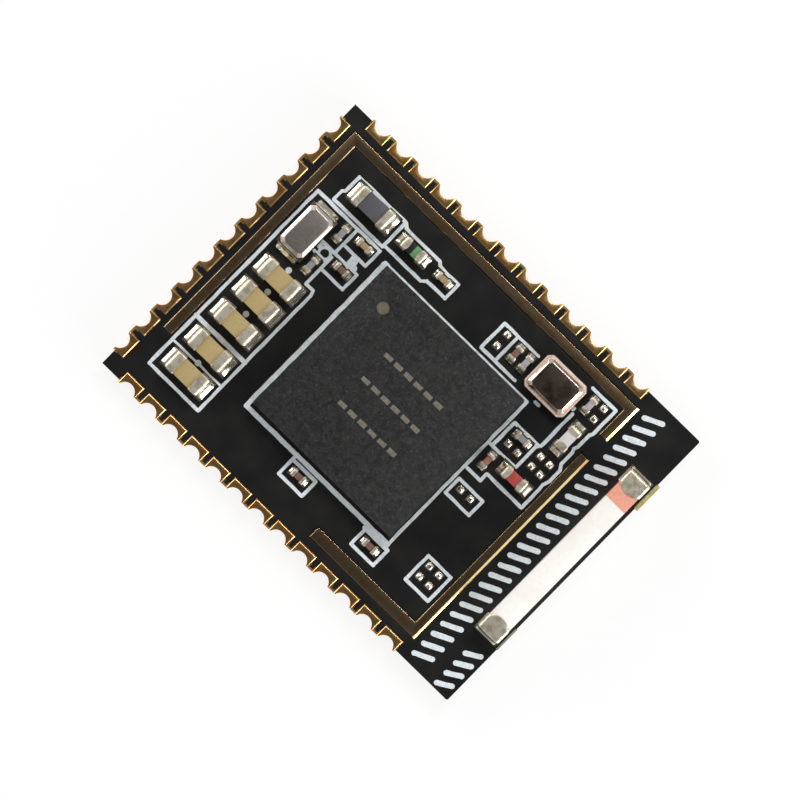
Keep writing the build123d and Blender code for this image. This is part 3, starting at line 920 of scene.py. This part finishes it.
def printed_outlines(material):
    batch = Batch()
    for point, strokes in (
        ("west", west_strokes), ("north_west", north_west_strokes),
        ("north_east", north_east_strokes), ("south_west", south_west_strokes),
        ("south_east", south_east_strokes),
    ):
        draw_strokes(batch, strokes, named_points[point])
    draw_strokes(batch, chip_frame_strokes(), (0.0, 0.0))
    west_x, west_y = named_points["west"]
    ring_x, ring_y = west_x + hole_ring_place[0], west_y + hole_ring_place[1]
    ring = disc(ring_x, ring_y, hole_ring_radius)
    draw_strokes(batch, [(hole_ring_width, ring + ring[:1])], (0.0, 0.0))
    for row in spot_rows:
        batch.add(*prism(
            disc(west_x + spot_x, west_y + row, spot_radius), mask_top, mask_top + ink_thickness
        ))
    made = piece(
        "printed_outlines", batch.points, batch.faces, material, smooth=False
    )
    fuse(made, keep_outs())
    return made


def hatch(name, sides, material):
    """A plain band of slanted strokes."""
    west, east, south, north = sides
    batch = Batch()
    count = int((north - south - hatch_slant) / hatch_pitch) + 1
    for i in range(count):
        y = south + i * hatch_pitch
        start = (west + hatch_line / 2, y)
        end = (east - hatch_line / 2, y + hatch_slant)
        draw_strokes(batch, [(hatch_line, [start, end])], (0.0, 0.0))
    made = piece(name, batch.points, batch.faces, material, smooth=False)
    fuse(made, keep_outs())
    return made


def chip_dashes(material):
    """Three rows of plain dashes, printed on the main chip."""
    batch = Batch()
    middle = (chip_low.x + chip_high.x) / 2 + dash_shift
    first = -(dashes_per_row - 1) / 2
    for y in dash_rows:
        for i in range(dashes_per_row):
            x = middle + (first + i) * dash_pitch
            outline = wavering_strip((x - dash_length / 2, y), (x + dash_length / 2, y), dash_width)
            batch.add(*prism(outline, chip_high.z, chip_high.z + dash_thickness))
    return piece(
        "chip_dashes", batch.points, batch.faces, material, smooth=False
    )


def dress_cad_nodes():
    mask = black_mask()
    gilt = gold("gold_plating", paint(240, 196, 132), paint(226, 166, 100), 0.22)
    shield_gilt = gold(
        "gold_shield_lands", paint(234, 206, 166), paint(222, 178, 130), 0.13,
        etched_edge=span("shield_land_south_east")[1].x,
    )
    laminate = glass_epoxy()
    tin = end_metal()
    solder = bright_solder()
    for node in ("solder_mask_top", "solder_mask_underside"):
        dress(node, mask)
    dress("board_laminate", laminate)
    for node in nodes:
        if node.startswith("edge_pads") or node.endswith("terminals"):
            dress(node, gilt)
    dress("part_lands", solder)
    dress("slow_crystal_terminals", tin)
    for node in ("edge_pads_north", "edge_pads_south", "edge_pads_west"):
        soften(node, 0.022, 3)
    for node in ("shield_land_north_west", "shield_land_south_east"):
        dress(node, shield_gilt)
        soften(node, 0.012)
    dress("main_chip_leads", tin)
    dress("main_chip_body", moulding())
    soften("main_chip_body", 0.015)
    base = ceramic("crystal_base_ceramic", paint(66, 58, 52), paint(92, 82, 72))
    for node in ("slow_crystal_base", "fast_crystal_base"):
        dress(node, base)
        soften(node, 0.02)
    dress("slow_crystal_lid", lid_metal("satin_lid", paint(222, 210, 202), paint(188, 178, 170), 0.28))
    dress("fast_crystal_lid", rimmed_lid_metal())
    soften("slow_crystal_lid", 0.025, 3, 20)
    soften("fast_crystal_lid", 0.02, 3, 20)
    tan = ceramic("tan_ceramic", paint(174, 153, 104), paint(150, 130, 86))
    for body in bulk_bodies:
        dress(body, tan)
    dress("ferrite_inductor_body", ceramic("grey_ferrite", paint(80, 79, 83), paint(64, 62, 67)))
    dress("banded_inductor_body", banded_ceramic())
    dress("pale_inductor_body", ceramic("pale_ceramic", paint(214, 208, 206), paint(188, 182, 182)))
    dress("red_inductor_body", ceramic("red_coating", paint(172, 72, 66), paint(150, 58, 54), gloss=0.3))
    dress("aerial_body", aerial_ceramic())
    grey = ceramic("small_grey_ceramic", paint(150, 150, 156), paint(122, 122, 130))
    sand = ceramic("small_tan_ceramic", paint(170, 145, 105), paint(140, 118, 84))
    brown = ceramic("small_brown_ceramic", paint(122, 92, 78), paint(98, 72, 60))
    lilac = ceramic("small_lilac_ceramic", paint(174, 168, 174), paint(150, 144, 150))
    rust = ceramic("small_rust_ceramic", paint(165, 115, 95), paint(138, 92, 74))
    order = [grey, sand, brown, grey, sand, brown, lilac, lilac, grey, rust, brown, brown]
    for body, material in zip(small_bodies, order):
        dress(body, material)
    for node in nodes:
        if node.endswith("_body") and node != "main_chip_body":
            soften(node, 0.02)
    return tin, solder


def add_pieces(tin, solder):
    solder_beads(solder)
    end_solder(solder)
    for body in bulk_bodies:
        part = body[: -len("_body")]
        end_caps(part + "_ends", part + "_caps", [body], tin, (0.16, 0.06, 0.1))
    end_caps(
        "ferrite_inductor_ends", "ferrite_inductor_caps", ["ferrite_inductor_body"], tin,
        (0.14, 0.06, 0.1),
    )
    for colour in ("banded", "pale", "red"):
        part = colour + "_inductor"
        end_caps(
            part + "_ends", part + "_caps", [part + "_body"], tin, (0.1, 0.05, 0.07), bow=0.06
        )
    end_caps("aerial_ends", "aerial_caps", ["aerial_body"], tin, (0.1, 0.12, 0.12), bow=0.2)
    end_caps("small_part_ends", "small_part_caps", small_bodies, tin, (0.07, 0.04, 0.05))
    ink = white_ink()
    printed_outlines(ink)
    hatch("aerial_hatch", aerial_hatch_sides, ink)
    hatch("corner_hatch", corner_hatch_sides, ink)
    chip_dashes(taupe_mark())


# Camera and light

def on_board(x, y, z=0.0):
    return Vector((x, y, z)) * MM


def add_camera():
    data = bpy.data.cameras.new("camera")
    data.lens = view_lens
    data.sensor_width = view_sensor
    data.clip_start = 0.01
    data.clip_end = 10.0
    camera = bpy.data.objects.new("camera", data)
    bpy.context.scene.collection.objects.link(camera)
    distance = view_width * view_lens / view_sensor
    camera.matrix_world = (
        Matrix.Translation(on_board(*view_centre, mask_top + distance))
        @ Matrix.Rotation(view_roll, 4, "Z")
    )
    bpy.context.scene.camera = camera


def add_lamp(name, azimuth, elevation, distance, width, height, level):
    """A soft box aimed at the board. level is the white it gives a level white surface."""
    data = bpy.data.lights.new(name, "AREA")
    data.shape = "RECTANGLE"
    data.size = width
    data.size_y = height
    rise = math.radians(elevation)
    turn = math.radians(azimuth)
    data.energy = level * math.pi ** 2 * distance ** 2 / math.sin(rise)
    lamp = bpy.data.objects.new(name, data)
    bpy.context.scene.collection.objects.link(lamp)
    lamp.location = distance * Vector((
        math.cos(turn) * math.cos(rise), math.sin(turn) * math.cos(rise), math.sin(rise)
    ))
    lamp.rotation_mode = "QUATERNION"
    lamp.rotation_quaternion = (-lamp.location).to_track_quat("-Z", "Y")
    lamp.visible_camera = False


def add_world():
    """A pale room, bright low down to the east and west, and dark overhead."""
    world = bpy.data.worlds.new("room")
    bpy.context.scene.world = world
    world.use_nodes = True
    room = Workings(world.node_tree)
    east, _, up = room.parts_of(room.node("ShaderNodeTexCoord", out="Generated"))
    height = 1.0 - room.ramp(up, 0.56, 0.97)
    sides = abs(east) * 0.9 + 0.2 + east * 0.25 * (1.0 - room.ramp(up, 0.1, 0.4))
    level = sides * (height * (1.0 - room_overhead) + room_overhead)
    room.join(level, world.node_tree.nodes["Background"].inputs["Color"])


def add_stage():
    mesh = bpy.data.meshes.new("floor")
    half = floor_half_side
    low = -floor_gap * MM
    corners = [(-half, -half, low), (half, -half, low), (half, half, low), (-half, half, low)]
    mesh.from_pydata(corners, [], [(0, 1, 2, 3)])
    mesh.materials.append(floor_paper())
    floor = bpy.data.objects.new("floor", mesh)
    bpy.context.scene.collection.objects.link(floor)
    add_lamp("key", 100, 50, 0.35, 0.12, 0.12, 0.3)
    add_lamp("east_strip", 0, 14, 0.3, 0.3, 0.12, 0.25)
    add_lamp("west_strip", 180, 20, 0.3, 0.3, 0.12, 0.18)
    add_world()


tin, solder = dress_cad_nodes()
add_pieces(tin, solder)
add_camera()
add_stage()
bpy.context.scene.view_settings.view_transform = "Standard"
